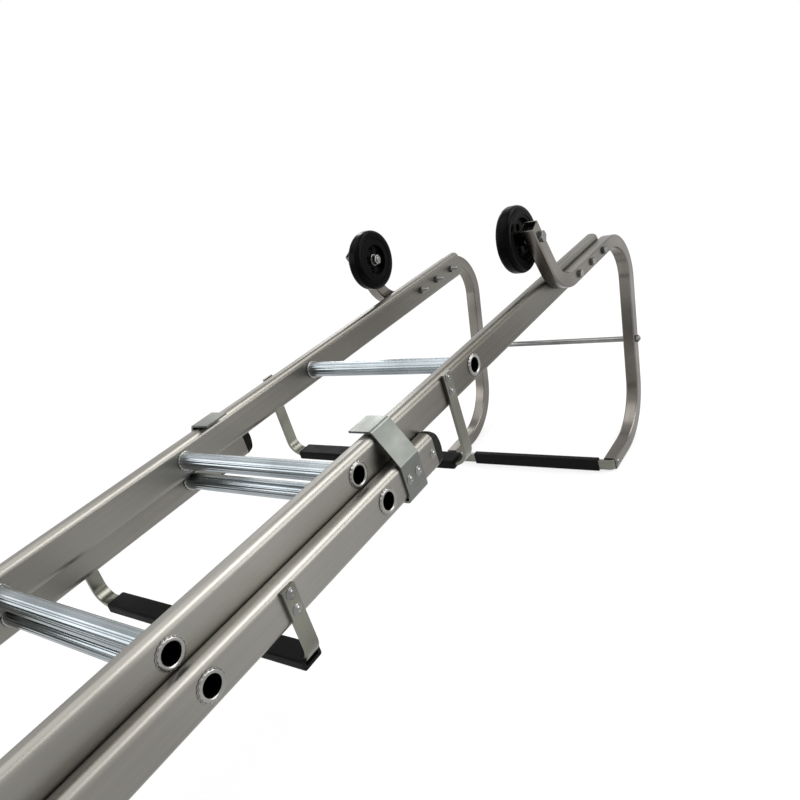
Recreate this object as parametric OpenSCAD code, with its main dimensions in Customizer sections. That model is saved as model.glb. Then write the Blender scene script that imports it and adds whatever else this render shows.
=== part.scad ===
// Two-section roof ladder: a hooked and wheeled upper section that slides on a wider lower section.
// X runs across the ladder, Y up the slope and Z away from the roof, in millimetres.
// The origin is the centre of the top rung, midway up the upper rails.

/* [Sections] */
// Spacing of the rungs, centre to centre
rung_pitch = 300; // [240:1:340]
// Number of rungs in each section
section_rungs = 8; // [4:1:9]
// Clear width between the upper rails
upper_clear_w = 300; // [240:1:400]
// Depth of the lower rails below the upper rails, centre to centre
section_drop = 41.4; // [38:0.1:52]
// Distance of each lower rung up the slope from the upper rung over it
rung_stagger = 9.2; // [0:0.1:12]
// Least gap between the nested sections
nest_gap = 0.6; // [0.4:0.1:2]
// Upper rail above its top rung
upper_head = 540; // [520:1:620]
// Upper rail below its bottom rung
upper_foot = 150; // [130:1:200]
// Lower rail above its top rung
lower_head = 116; // [105:1:160]
// Lower rail below its bottom rung
lower_foot = 129; // [110:1:180]

/* [Rails] */
// Height of a rail
rail_h = 52; // [46:1:70]
// Width of a rail
rail_w = 25; // [22:1:32]
// Wall of a rail
rail_wall = 2; // [1.5:0.1:3]
// Outer corner radius of a rail
rail_corner_r = 10; // [5:0.5:11]

/* [Rungs] */
// Diameter over the flutes
rung_d = 25; // [20:0.5:28]
// Wall of the rung tube
rung_wall = 2; // [1.6:0.1:3]
// Number of flutes round a rung
flutes = 20; // [12:1:28]
// Depth of a flute
flute_depth = 0.7; // [0.3:0.1:1]
// Diameter of the flare that holds the rung outside the rail
flare_d = 34; // [31:0.5:36]
// Thickness of the flare
flare_t = 2.6; // [2:0.1:3]
// Diameter of the bead inside the rail
bead_d = 31; // [29:0.5:33]
// Thickness of the bead
bead_t = 3; // [2:0.1:5]

/* [Ridge hook] */
// Side of the square hook tube
tube_w = 25; // [22:1:32]
// Wall of the hook tube
tube_wall = 2; // [1.5:0.1:3]
// Height of the tube's centre line above the rail's
hook_rise = 2; // [0:0.5:8]
// Corner of the centre line below the wheel arm, up the slope from the top rung
arm_corner_y = 298; // [260:1:310]
// Turn of the wheel arm up from the rail
arm_turn = 66; // [50:1:80]
// Length of the wheel arm from that corner
arm_len = 143; // [130:1:180]
// Bend radius below the wheel arm
arm_bend_r = 80; // [50:1:90]
// Corner of the centre line over the ridge, up the slope from the top rung
top_corner_y = 650; // [630:1:760]
// Bend radius over the ridge
top_bend_r = 80; // [50:1:85]
// Lean of the leg back towards the ladder
leg_lean = 16.3; // [5:0.1:20]
// Depth of the tip below the tube on the rail
hook_drop = 400; // [360:1:450]
// Bend radius above the tip
tip_bend_r = 127; // [80:1:150]
// End of the tip, up the slope from the top rung
tip_y = 364; // [330:1:380]

/* [Hook fasteners] */
// Bolts on each side
hook_bolt_count = 3; // [2:1:3]
// First hook bolt, up the slope from the top rung
hook_bolt_y = 370; // [365:1:380]
// Spacing of the hook bolts
hook_bolt_pitch = 63.5; // [50:0.5:70]
// Diameter of the hook bolts
bolt_d = 8; // [6:1:10]
// Width across the flats of the hook bolts and nuts
bolt_flats = 13; // [12:1:17]
// Height of a hook bolt's head
bolt_head_h = 5.3; // [4:0.1:7]
// Height of a nut on the hook bolts and the tie rod
nut_h = 6.5; // [5:0.1:8]
// Thread that stands out of a nut on the tie rod or an axle
thread_out = 2; // [1:0.5:5]
// Thread that stands out of a hook bolt's nut
hook_thread_out = 12; // [2:0.5:15]
// Diameter of the tie rod between the hooks
tie_rod_d = 12; // [11:0.5:16]
// Diameter of the tie rod's threaded ends
tie_end_d = 8; // [6:1:10]
// Depth of the tie rod below the tube on the rail
tie_drop = 225; // [180:1:260]

/* [Ridge bar] */
// Thickness of the ridge bar
ridge_bar_t = 8; // [5:0.5:10]
// Play of the ridge bar in the tube, above and below
ridge_bar_play = 0.5; // [0.2:0.1:2]
// Reach of the ridge bar into the tube
ridge_bar_reach = 30; // [22:1:50]
// Bend radius of the ridge bar's centre line
ridge_bend_r = 8; // [6:0.5:12]
// Gap between the ridge bar and the end of the tube
ridge_gap = 1; // [0.5:0.1:4]
// Wall of the ridge sleeve
ridge_sleeve_wall = 3; // [1.5:0.5:5]
// Length of the ridge sleeve
ridge_sleeve_len = 287; // [200:1:340]
// Bare length of the ridge bar between its right bend and the sleeve
ridge_bare = 21; // [5:1:30]
// Distance of the ridge bar's rivet from the end of the tube
ridge_rivet_inset = 10; // [8:1:14]

/* [Wheels] */
// Diameter of the tyre
tyre_d = 112; // [100:1:125]
// Width of the tyre
tyre_w = 27; // [24:1:34]
// Shoulder radius of the tyre
tyre_shoulder_r = 9; // [4:0.5:11]
// Diameter of the hub inside the tyre
hub_d = 80; // [70:1:86]
// Thickness of the hub's rim
hub_rim_t = 5; // [3:0.5:7]
// Depth of the hub's rim inside the tyre's face
hub_inset = 1; // [0.5:0.5:3]
// Thickness of the hub's web
hub_web_t = 12; // [9:0.5:14]
// Diameter of the hub's boss
hub_boss_d = 24; // [22:1:28]
// Diameter of the well round the axle nut
hub_well_d = 56; // [52:1:64]
// Height of the boss above the web in the well
hub_seat_rise = 1; // [0.5:0.5:3]
// Number of windows in the web
hub_windows = 5; // [4:1:7]
// Diameter of a window
hub_window_d = 13; // [9:0.5:14]
// Gap between the tyre and the arm
wheel_gap = 4.5; // [2.5:0.1:6]
// Distance of the axle from the end of the arm
axle_inset = 24; // [18:1:32]
// Diameter of the axle bolt
axle_d = 10; // [8:1:12]
// Width across the flats of the axle bolt and nut
axle_flats = 17; // [15:1:19]
// Height of the axle bolt's head
axle_head_h = 6.4; // [5:0.1:8]
// Height of the axle nut
axle_nut_h = 8; // [7:0.5:12]
// Diameter of an axle washer
washer_d = 22; // [20:1:24]
// Thickness of an axle washer
washer_t = 2; // [1:0.1:2.2]

/* [Guides] */
// Thickness of the bent plate
plate_t = 3; // [2:0.5:4]
// Bend radius of the plate's centre line
plate_bend_r = 5; // [3:0.5:6]
// Width of a guide bracket along the rail
guide_w = 41; // [36:1:50]
// Distance of the guide bracket's centre from the rail's end
guide_inset = 58.5; // [50:0.5:66]
// Gap over the upper rail
guide_gap = 3; // [1.5:0.1:5]
// Gap past the rung flares
flare_gap = 0.7; // [0.4:0.1:2]
// Distance of the bracket's upper corner inside the upper rail's outer face
guide_setback = 3.2; // [2:0.1:6]
// Reach of the bracket over the upper rail
guide_lip = 35; // [20:1:45]
// Gap under the lower rail
guide_wrap_gap = 0.5; // [0:0.1:3]
// Reach of the bracket under the lower rail
guide_foot_lip = 20; // [12:1:25]
// Spacing of the rivets in a bracket
guide_rivet_pitch = 20; // [14:1:24]
// Width of a foot guide along the rail
foot_guide_w = 40; // [34:1:46]
// Distance of a foot guide's centre from the upper rail's end
foot_guide_inset = 54; // [52:1:60]
// Running gap of a foot guide round the lower rail
foot_guide_gap = 1.2; // [0.6:0.1:3]
// Height of a foot guide's flange above the upper rail's centre
foot_guide_rise = 16; // [12:1:20]
// Reach of a foot guide under the lower rail
foot_guide_lip = 18; // [14:1:24]

/* [Bearers] */
// Width of the strap
strap_w = 20; // [16:1:26]
// Thickness of the strap
strap_t = 5; // [4:0.5:6]
// Bend radius of the strap's centre line
strap_bend_r = 22.5; // [10:0.5:30]
// Height of the upper strap's ends above the upper rail's centre
upper_strap_rise = 25; // [20:0.5:25]
// Height of the lower straps' ends above the lower rail's centre
lower_strap_rise = 19.5; // [17:0.5:25]
// Height of the roof's surface below the lower rails
stand_off = 58.6; // [45:0.1:90]
// Wall of the bearer's sleeve
sleeve_wall = 4.5; // [2:0.5:6]
// Corner radius of the sleeves
sleeve_corner_r = 3; // [1:0.5:4]
// Distance of a strap's first rivet from its end
strap_rivet_edge = 7.5; // [6.5:0.5:10]
// Spacing of the strap's rivets
strap_rivet_pitch = 21; // [14:0.5:24]
// Distance of the upper bearer below the top rung
upper_bearer_inset = 78; // [60:1:90]
// Distance of the lower section's upper bearer below its top rung
lower_bearer_inset = 184; // [150:1:220]
// Distance of the foot bearer above the lower rail's end
foot_bearer_inset = 65; // [50:1:80]

/* [End caps] */
// Length of a cap outside the rail
cap_len = 16; // [12:1:30]
// Length of the cap's stepped end
cap_step_len = 11; // [4:0.5:11]
// Depth of that step
cap_step = 1; // [0.5:0.1:2]
// Radius of the stepped end's dome, over its height
cap_dome_r = 42; // [38:1:80]
// Length of the plug inside the rail
cap_plug = 28; // [16:1:30]
// Distance of the cap's rivet from the end of the rail
cap_rivet_inset = 7; // [5:0.5:10]

/* [Rivets] */
// Diameter of a rivet's shank
rivet_d = 5; // [4:0.1:6.4]
// Diameter of a rivet's head
rivet_head_d = 13; // [8:0.5:13]
// Height of a rivet's head
rivet_head_h = 3; // [2:0.1:4]
// Length of a rivet's tail inside the rail
rivet_tail = 3; // [1:0.5:5]

/* [Rung catches] */
// Thickness of a catch
catch_t = 4; // [3:0.5:6]
// Width of a catch
catch_w = 22; // [18:1:26]
// Width of the catch's nose
catch_nose = 8; // [5:0.5:12]
// Height of the catch's pivot above the upper rail's centre
catch_rise = 4; // [0:0.5:8]
// Play between a catch and its rung
catch_play = 2.3; // [1.5:0.1:4]
// Gap between a catch and its rail
catch_gap = 0.4; // [0.3:0.1:1]
// Diameter of the catch's pivot
catch_pin_d = 8; // [6:1:10]

/* [Hidden] */
$fn = 48;
// Radial clearance of a fit
fit = 0.05;
// Clearance beside a turning piece
run_gap = 0.3;
// Overrun of a cut
overrun = 1;
// Least inner corner radius
least_r = 0.2;
// Largest turn between two points of a bend
bend_step = 6;
// Corners of one flute round the rung, as shares of its width and of its depth
flute_corner_shares = [0, 0.45, 0.6, 0.85];
flute_depth_shares = [0, 0, 1, 1];

// Finishes
rail_tone = "#b3afa9";
rung_tone = "#bfc6cc";
tube_tone = "#9c968c";
zinc_tone = "#a9b3b3";
strap_tone = "#8f938a";
steel_tone = "#c9cbce";
rubber_tone = "#1b1b1c";
plastic_tone = "#242425";

// Upper section
upper_in = upper_clear_w / 2;
upper_out = upper_in + rail_w;
upper_mid = (upper_in + upper_out) / 2;
upper_foot_y = -(section_rungs - 1) * rung_pitch - upper_foot;
upper_rung_places = [for (i = [0 : section_rungs - 1]) [-i * rung_pitch, 0]];

// Round edge of the upper rungs' flares
rim_r = flare_t / 2;
rim_x = upper_out + rim_r;
rim_z = flare_d / 2 - rim_r;

// The lower rails nest as close as the rails' rounded corners and the flares allow
lower_z = -section_drop;
lower_top_z = lower_z + rail_h / 2;
lower_bottom_z = lower_z - rail_h / 2;
lower_corner_z = lower_top_z - rail_corner_r;
function beside(x, z, reach) = x + sqrt(max(reach ^ 2 - max(z - lower_corner_z, 0) ^ 2, 0));
past_rail = beside(upper_out - rail_corner_r, rail_corner_r - rail_h / 2, 2 * rail_corner_r + nest_gap);
past_flare = beside(rim_x, -rim_z, rail_corner_r + rim_r + nest_gap);
lower_in = max(past_rail, past_flare) - rail_corner_r;
lower_out = lower_in + rail_w;
lower_mid = (lower_in + lower_out) / 2;
lower_rung_places = [for (i = [1 : section_rungs]) [rung_stagger - i * rung_pitch, lower_z]];
lower_head_y = lower_rung_places[0].x + lower_head;
lower_foot_y = lower_rung_places[section_rungs - 1].x - lower_foot;

// Ridge hook, as corners of its centre line in Y and Z
hook_in = upper_out;
hook_out = hook_in + tube_w;
hook_mid = (hook_in + hook_out) / 2;
tip_z = hook_rise - hook_drop;
arm_way = [-cos(arm_turn), sin(arm_turn)];
arm_end = [arm_corner_y, hook_rise] + arm_len * arm_way;
hook_path = [
    arm_end,
    [arm_corner_y, hook_rise],
    [top_corner_y, hook_rise],
    [top_corner_y - hook_drop * tan(leg_lean), tip_z],
    [tip_y, tip_z]
];
hook_radii = [0, arm_bend_r, top_bend_r, tip_bend_r, 0];
hook_bolt_places = [for (i = [0 : hook_bolt_count - 1]) [hook_bolt_y + i * hook_bolt_pitch, hook_rise]];
tie_place = [top_corner_y - tie_drop * tan(leg_lean), hook_rise - tie_drop];
axle_place = arm_end - axle_inset * arm_way;

// Ridge bar, as corners of its centre line in X and Y
ridge_bar_w = tube_w - 2 * tube_wall - 2 * ridge_bar_play;
ridge_leg_x = hook_out - tube_wall - ridge_bar_t / 2;
ridge_y = tip_y - ridge_gap - ridge_bar_t / 2;
ridge_path = [
    [-ridge_leg_x, tip_y + ridge_bar_reach],
    [-ridge_leg_x, ridge_y],
    [ridge_leg_x, ridge_y],
    [ridge_leg_x, tip_y + ridge_bar_reach]
];
ridge_rivet_place = [tip_y + ridge_rivet_inset, tip_z];
ridge_sleeve_end = ridge_leg_x - ridge_bend_r - ridge_bare;

// Wheels, along X from the arm inwards
wheel_x = hook_in - wheel_gap - tyre_w / 2;
hub_out = hook_in - washer_t - run_gap - wheel_x;
hub_seat = hub_web_t / 2 + hub_seat_rise;
inner_washer_x = wheel_x - hub_seat - run_gap - washer_t;

// Guide bracket, as corners of its centre line in X and Z
guide_y = lower_head_y - guide_inset;
guide_top = [upper_out - guide_setback, rail_h / 2 + guide_gap + plate_t / 2];
to_rim = [rim_x, rim_z] - guide_top;
guide_slope = atan2(to_rim.y, to_rim.x) + asin((rim_r + flare_gap + plate_t / 2) / norm(to_rim));
guide_side_x = lower_out + plate_t / 2;
guide_foot_z = lower_bottom_z - guide_wrap_gap - plate_t / 2;
guide_path = [
    [guide_top.x - guide_lip, guide_top.y],
    guide_top,
    [guide_side_x, guide_top.y + (guide_side_x - guide_top.x) * tan(guide_slope)],
    [guide_side_x, guide_foot_z],
    [guide_side_x - guide_foot_lip, guide_foot_z]
];
guide_rivet_places = [for (s = [-1, 1]) [guide_y + s * guide_rivet_pitch / 2, lower_z]];

// Foot guide, as corners of its centre line in X and Z
foot_guide_y = upper_foot_y + foot_guide_inset;
foot_guide_in = upper_out + plate_t / 2;
foot_guide_out = lower_out + flare_t + foot_guide_gap + plate_t / 2;
foot_guide_web_z = lower_top_z + foot_guide_gap + plate_t / 2;
foot_guide_lip_z = lower_bottom_z - foot_guide_gap - plate_t / 2;
foot_guide_path = [
    [foot_guide_in, foot_guide_rise],
    [foot_guide_in, foot_guide_web_z],
    [foot_guide_out, foot_guide_web_z],
    [foot_guide_out, foot_guide_lip_z],
    [foot_guide_out - foot_guide_lip, foot_guide_lip_z]
];
foot_guide_rivet_z = (foot_guide_rise + foot_guide_web_z + plate_bend_r) / 2;
foot_guide_rivet_places = [for (s = [-1, 1]) [foot_guide_y + s * guide_rivet_pitch / 2, foot_guide_rivet_z]];

// Bearers
roof_z = lower_bottom_z - stand_off;
strap_z = roof_z + sleeve_wall + strap_t / 2;
upper_bearer_y = -upper_bearer_inset;
lower_bearer_y = lower_rung_places[0].x - lower_bearer_inset;
foot_bearer_y = lower_foot_y + foot_bearer_inset;
lower_strap_top = lower_z + lower_strap_rise;
function strap_rivet_places(y, top) =
    [for (i = [0, 1]) [y, top - strap_rivet_edge - i * strap_rivet_pitch]];
upper_strap_rivets = strap_rivet_places(upper_bearer_y, upper_strap_rise);
lower_strap_rivets = strap_rivet_places(lower_bearer_y, lower_strap_top);
foot_strap_rivets = strap_rivet_places(foot_bearer_y, lower_strap_top);

// End caps
upper_cap_rivets = [[upper_foot_y + cap_rivet_inset, 0]];
lower_cap_rivets = [[lower_head_y - cap_rivet_inset, lower_z], [lower_foot_y + cap_rivet_inset, lower_z]];

// Rung catches, folded up along the rail beside a lower rung
catch_hold = [catch_rise + section_drop, -(rung_d / 2 + catch_play + catch_w / 2)];
catch_len = catch_hold.x + rung_d / 2 + catch_play + catch_nose;
catch_place = [lower_rung_places[section_rungs - 2].x - catch_hold.y, catch_rise];
catch_out = upper_in - catch_gap;
catch_in = catch_out - catch_t;

SIDES = ["left", "right"];
PAIRS = [
    "upper_rail", "lower_rail", "ridge_hook", "tyre", "wheel_hub", "guide_bracket", "foot_guide",
    "lower_top_cap", "lower_foot_cap", "upper_foot_cap", "rung_catch"
];
SINGLES = [
    "hook_bolts", "hook_nuts", "hook_tie_rod", "tie_rod_nuts", "ridge_bar", "ridge_sleeve",
    "ridge_bar_rivets", "wheel_axle_bolts", "wheel_axle_nuts", "wheel_washers", "upper_bearer_strap",
    "upper_bearer_sleeve", "lower_bearer_strap", "lower_bearer_sleeve", "foot_bearer_strap",
    "foot_bearer_sleeve", "upper_section_rivets", "lower_section_rivets", "catch_pivots"
];

// Shared shapes

// A rectangle with rounded corners, centred
module rounded(w, h, r) {
    square([w - 2 * r, h], center = true);
    square([w, h - 2 * r], center = true);
    for (x = [-1, 1], y = [-1, 1])
        translate([x * (w / 2 - r), y * (h / 2 - r)])
            circle(r);
}

// The wall of a rounded tube
module tube_section(w, h, wall, r) {
    difference() {
        rounded(w, h, r);
        rounded(w - 2 * wall, h - 2 * wall, max(r - wall, least_r));
    }
}

// An outline in Y and Z, run along X
module along_x(from, to) {
    translate([from, 0, 0]) rotate([90, 0, 90]) linear_extrude(to - from) children();
}

// An outline in X and Z, run along Y
module along_y(from, to) {
    translate([0, to, 0]) rotate([90, 0, 0]) linear_extrude(to - from) children();
}

// A round bar along X
module peg(from, to, r) {
    translate([from, 0, 0]) rotate([0, 90, 0]) cylinder(h = to - from, r = r);
}

// A hexagon bar along X
module hex(from, to, flats) {
    translate([from, 0, 0]) rotate([0, 90, 0])
        cylinder(h = to - from, r = flats / 2 / cos(30), $fn = 6);
}

// Copies at places given as Y and Z
module at(places) {
    for (p = places) translate([0, p.x, p.y]) children();
}

module on(side) {
    mirror([side == "left" ? 1 : 0, 0, 0]) children();
}

module both_sides() {
    for (side = SIDES) on(side) children();
}

// Bent bars and plates, from the corners p of a centre line and their bend radii r
function heading(a, b) = atan2(b.y - a.y, b.x - a.x);
function wrapped(t) = t > 180 ? t - 360 : t < -180 ? t + 360 : t;
function turn_at(p, i) = wrapped(heading(p[i], p[i + 1]) - heading(p[i - 1], p[i]));
function ahead(a, d) = d * [cos(a), sin(a)];
function alike(p, r) = [for (corner = p) r];
function reversed(v) = [for (i = [len(v) - 1 : -1 : 0]) v[i]];
function end_heading(p, i) = i == 0 ? heading(p[0], p[1]) : heading(p[i - 1], p[i]);
function is_end(p, i) = i == 0 || i == len(p) - 1;
function stretched(p, d) = [for (i = [0 : len(p) - 1])
    is_end(p, i) ? p[i] + ahead(end_heading(p, i), i == 0 ? -d : d) : p[i]];

// One edge of the band at distance d to the left of the centre line
function bend_edge(p, r, d, i) =
    let (a = heading(p[i - 1], p[i]), t = turn_at(p, i), way = sign(t))
    let (middle = p[i] - ahead(a, r[i] * tan(abs(t) / 2)) + ahead(a + 90 * way, r[i]))
    let (steps = ceil(abs(t) / bend_step))
    [for (k = [0 : steps]) middle + ahead(a - 90 * way + t * k / steps, r[i] - way * d)];
function edge(p, r, d) = [for (i = [0 : len(p) - 1])
    each is_end(p, i) ? [p[i] + ahead(end_heading(p, i) + 90, d)] : bend_edge(p, r, d, i)];

// The outline of a band of thickness t along the centre line
module band(p, r, t) {
    polygon(concat(edge(p, r, t / 2), reversed(edge(p, r, -t / 2))));
}

// Fasteners, with the head outwards along X from its seat

module dome(r, h) {
    ball_r = (r ^ 2 + h ^ 2) / (2 * h);
    intersection() {
        translate([0, 0, h - ball_r]) sphere(ball_r);
        cylinder(h = h, r = r);
    }
}

module rivet(seat, grip, d, head_d) {
    translate([seat, 0, 0]) rotate([0, 90, 0]) dome(head_d / 2, rivet_head_h);
    peg(seat - grip - rivet_tail, seat + rivet_head_h / 2, d / 2);
}

module rivet_hole(from, to) {
    peg(from, to + overrun, rivet_d / 2 + fit);
}

module bolt(seat, end, d, flats, head_h) {
    hex(seat, seat + head_h, flats);
    peg(end, seat + head_h / 2, d / 2);
}

module nut(from, to, d, flats) {
    difference() {
        hex(from, to, flats);
        peg(from - overrun, to + overrun, d / 2 + fit);
    }
}

// Rails

module rail(middle, z, foot, head) {
    along_y(foot, head) translate([middle, z]) tube_section(rail_w, rail_h, rail_wall, rail_corner_r);
}

module upper_rail() {
    color(rail_tone) difference() {
        rail(upper_mid, 0, upper_foot_y, upper_head);
        at(upper_rung_places) peg(upper_in - overrun, upper_out + overrun, rung_d / 2 + fit);
        at(hook_bolt_places) peg(upper_in - overrun, upper_out + overrun, bolt_d / 2 + fit);
        at(upper_strap_rivets) rivet_hole(upper_mid, upper_out);
        at(upper_cap_rivets) rivet_hole(upper_mid, upper_out);
        at(foot_guide_rivet_places) rivet_hole(upper_mid, upper_out);
        at([catch_place]) peg(upper_in - overrun, upper_mid, catch_pin_d / 2 + fit);
    }
}

module lower_rail() {
    color(rail_tone) difference() {
        rail(lower_mid, lower_z, lower_foot_y, lower_head_y);
        at(lower_rung_places) peg(lower_in - overrun, lower_out + overrun, rung_d / 2 + fit);
        at(lower_strap_rivets) rivet_hole(lower_mid, lower_out);
        at(foot_strap_rivets) rivet_hole(lower_mid, lower_out);
        at(lower_cap_rivets) rivet_hole(lower_mid, lower_out);
        at(guide_rivet_places) rivet_hole(lower_mid, lower_out);
    }
}

// Rungs

function flute_outline() = [for (i = [0 : flutes - 1], k = [0 : len(flute_corner_shares) - 1])
    let (a = (i + flute_corner_shares[k]) * 360 / flutes)
    (rung_d / 2 - flute_depth * flute_depth_shares[k]) * [cos(a), sin(a)]];

// A disc along X with a round edge
module rolled_disc(from, d, t) {
    translate([from, 0, 0]) rotate([0, 90, 0]) rotate_extrude() {
        square([d / 2 - t / 2, t]);
        translate([d / 2 - t / 2, t / 2]) circle(d = t);
    }
}

module rung(place, inner, outer) {
    color(rung_tone) at([place]) difference() {
        union() {
            along_x(-inner + bead_t / 2, inner - bead_t / 2) polygon(flute_outline());
            both_sides() {
                peg(inner - bead_t, outer + flare_t / 2, rung_d / 2);
                rolled_disc(inner - bead_t, bead_d, bead_t);
                rolled_disc(outer, flare_d, flare_t);
            }
        }
        peg(-outer - flare_t - overrun, outer + flare_t + overrun, rung_d / 2 - rung_wall);
    }
}

// Ridge hook

module ridge_hook() {
    color(tube_tone) difference() {
        along_x(hook_in, hook_out) band(hook_path, hook_radii, tube_w);
        along_x(hook_in + tube_wall, hook_out - tube_wall)
            band(stretched(hook_path, overrun), hook_radii, tube_w - 2 * tube_wall);
        at(hook_bolt_places) peg(hook_in - overrun, hook_out + overrun, bolt_d / 2 + fit);
        at([tie_place]) peg(hook_in - overrun, hook_out + overrun, tie_end_d / 2 + fit);
        at([axle_place]) peg(hook_in - overrun, hook_out + overrun, axle_d / 2 + fit);
        at([ridge_rivet_place]) rivet_hole(hook_mid, hook_out);
    }
}

module hook_bolts() {
    color(steel_tone) both_sides() at(hook_bolt_places)
        bolt(hook_out, upper_in - nut_h - hook_thread_out, bolt_d, bolt_flats, bolt_head_h);
}

module hook_nuts() {
    color(steel_tone) both_sides() at(hook_bolt_places) nut(upper_in - nut_h, upper_in, bolt_d, bolt_flats);
}

module hook_tie_rod() {
    reach = hook_out + nut_h + thread_out;
    color(steel_tone) at([tie_place]) {
        peg(-reach, reach, tie_end_d / 2);
        peg(fit - hook_in, hook_in - fit, tie_rod_d / 2);
    }
}

module tie_rod_nuts() {
    color(steel_tone) both_sides() at([tie_place]) nut(hook_out, hook_out + nut_h, tie_end_d, bolt_flats);
}

// Ridge bar

module ridge_bar() {
    color(strap_tone) difference() {
        translate([0, 0, tip_z - ridge_bar_w / 2]) linear_extrude(ridge_bar_w)
            band(ridge_path, alike(ridge_path, ridge_bend_r), ridge_bar_t);
        both_sides() at([ridge_rivet_place]) rivet_hole(ridge_leg_x - ridge_bar_t, hook_out);
    }
}

module ridge_sleeve() {
    color(rubber_tone) translate([0, ridge_y, tip_z])
        along_x(ridge_sleeve_end - ridge_sleeve_len, ridge_sleeve_end)
            sleeve_section(ridge_bar_t, ridge_bar_w, ridge_sleeve_wall);
}

module ridge_bar_rivets() {
    color(steel_tone) both_sides() at([ridge_rivet_place])
        rivet(hook_out, tube_wall + ridge_bar_t, rivet_d, rivet_head_d);
}

// A sleeve round a flat bar
module sleeve_section(w, h, wall) {
    difference() {
        rounded(w + 2 * wall, h + 2 * wall, sleeve_corner_r);
        square([w + 2 * fit, h + 2 * fit], center = true);
    }
}

// Wheels

module on_axle() {
    at([axle_place]) translate([wheel_x, 0, 0]) children();
}

module tyre() {
    core_r = hub_d / 4;
    flat_r = tyre_d / 2 - tyre_shoulder_r;
    flat_w = tyre_w - 2 * tyre_shoulder_r;
    color(rubber_tone) on_axle() difference() {
        rotate([0, 90, 0]) rotate_extrude() {
            translate([core_r, -tyre_w / 2]) square([flat_r - core_r, tyre_w]);
            translate([core_r, -flat_w / 2]) square([tyre_d / 2 - core_r, flat_w]);
            for (s = [-1, 1]) translate([flat_r, s * flat_w / 2]) circle(tyre_shoulder_r);
        }
        peg(-tyre_w, tyre_w, hub_d / 2);
    }
}

module wheel_hub() {
    rim_half = tyre_w / 2 - hub_inset;
    window_r = (hub_well_d + hub_boss_d) / 4;
    color(plastic_tone) on_axle() difference() {
        union() {
            difference() {
                peg(-rim_half, rim_half, hub_d / 2);
                peg(hub_web_t / 2, rim_half + overrun, hub_d / 2 - hub_rim_t);
                peg(-rim_half - overrun, -hub_web_t / 2, hub_well_d / 2);
            }
            peg(-hub_seat, hub_out, hub_boss_d / 2);
        }
        for (i = [0 : hub_windows - 1]) rotate([i * 360 / hub_windows, 0, 0]) translate([0, 0, window_r])
            peg(-hub_web_t, hub_web_t, hub_window_d / 2);
        peg(-hub_seat - overrun, hub_out + overrun, axle_d / 2 + fit);
    }
}

module wheel_axle_bolts() {
    color(steel_tone) both_sides() at([axle_place])
        bolt(hook_out, inner_washer_x - axle_nut_h - thread_out, axle_d, axle_flats, axle_head_h);
}

module wheel_axle_nuts() {
    color(steel_tone) both_sides() at([axle_place])
        nut(inner_washer_x - axle_nut_h, inner_washer_x, axle_d, axle_flats);
}

module wheel_washers() {
    color(steel_tone) both_sides() at([axle_place]) for (x = [inner_washer_x, hook_in - washer_t])
        difference() {
            peg(x, x + washer_t, washer_d / 2);
            peg(x - overrun, x + washer_t + overrun, axle_d / 2 + fit);
        }
}

// Guides

module guide_bracket() {
    color(zinc_tone) difference() {
        along_y(guide_y - guide_w / 2, guide_y + guide_w / 2)
            band(guide_path, alike(guide_path, plate_bend_r), plate_t);
        at(guide_rivet_places) rivet_hole(lower_mid, lower_out + plate_t);
    }
}

module foot_guide() {
    color(zinc_tone) difference() {
        along_y(foot_guide_y - foot_guide_w / 2, foot_guide_y + foot_guide_w / 2)
            band(foot_guide_path, alike(foot_guide_path, plate_bend_r), plate_t);
        at(foot_guide_rivet_places) rivet_hole(upper_mid, upper_out + plate_t);
    }
}

// Bearers

module bearer_strap(y, outer, top, rivets) {
    leg_x = outer + strap_t / 2;
    path = [[-leg_x, top], [-leg_x, strap_z], [leg_x, strap_z], [leg_x, top]];
    color(strap_tone) difference() {
        along_y(y - strap_w / 2, y + strap_w / 2) band(path, alike(path, strap_bend_r), strap_t);
        both_sides() at(rivets) rivet_hole(outer - overrun, outer + strap_t);
    }
}

module bearer_sleeve(y, outer) {
    reach = outer + strap_t / 2 - strap_bend_r;
    color(rubber_tone) translate([0, y, strap_z]) along_x(-reach, reach)
        sleeve_section(strap_w, strap_t, sleeve_wall);
}

// End caps

// The cap of a rail end at y, facing up the slope or down it
module end_cap(middle, z, y, faces_down) {
    color(plastic_tone) translate([middle, y, z]) mirror([0, faces_down ? 1 : 0, 0]) difference() {
        union() {
            along_y(0, cap_len - cap_step_len) rounded(rail_w, rail_h, rail_corner_r);
            intersection() {
                along_y(0, cap_len)
                    rounded(rail_w - 2 * cap_step, rail_h - 2 * cap_step, rail_corner_r - cap_step);
                translate([0, cap_len - cap_dome_r, 0]) peg(-rail_w, rail_w, cap_dome_r);
            }
            along_y(-cap_plug, 0) rounded(
                rail_w - 2 * rail_wall - 2 * fit,
                rail_h - 2 * rail_wall - 2 * fit,
                max(rail_corner_r - rail_wall, least_r)
            );
        }
        translate([0, -cap_rivet_inset, 0]) rivet_hole(0, rail_w / 2);
    }
}

// Rivets of each section

module upper_section_rivets() {
    color(steel_tone) both_sides() {
        at(upper_strap_rivets) rivet(upper_out + strap_t, strap_t + rail_wall, rivet_d, rivet_head_d);
        at(foot_guide_rivet_places) rivet(upper_out + plate_t, plate_t + rail_wall, rivet_d, rivet_head_d);
        at(upper_cap_rivets) rivet(upper_out, rail_wall, rivet_d, rivet_head_d);
    }
}

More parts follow.
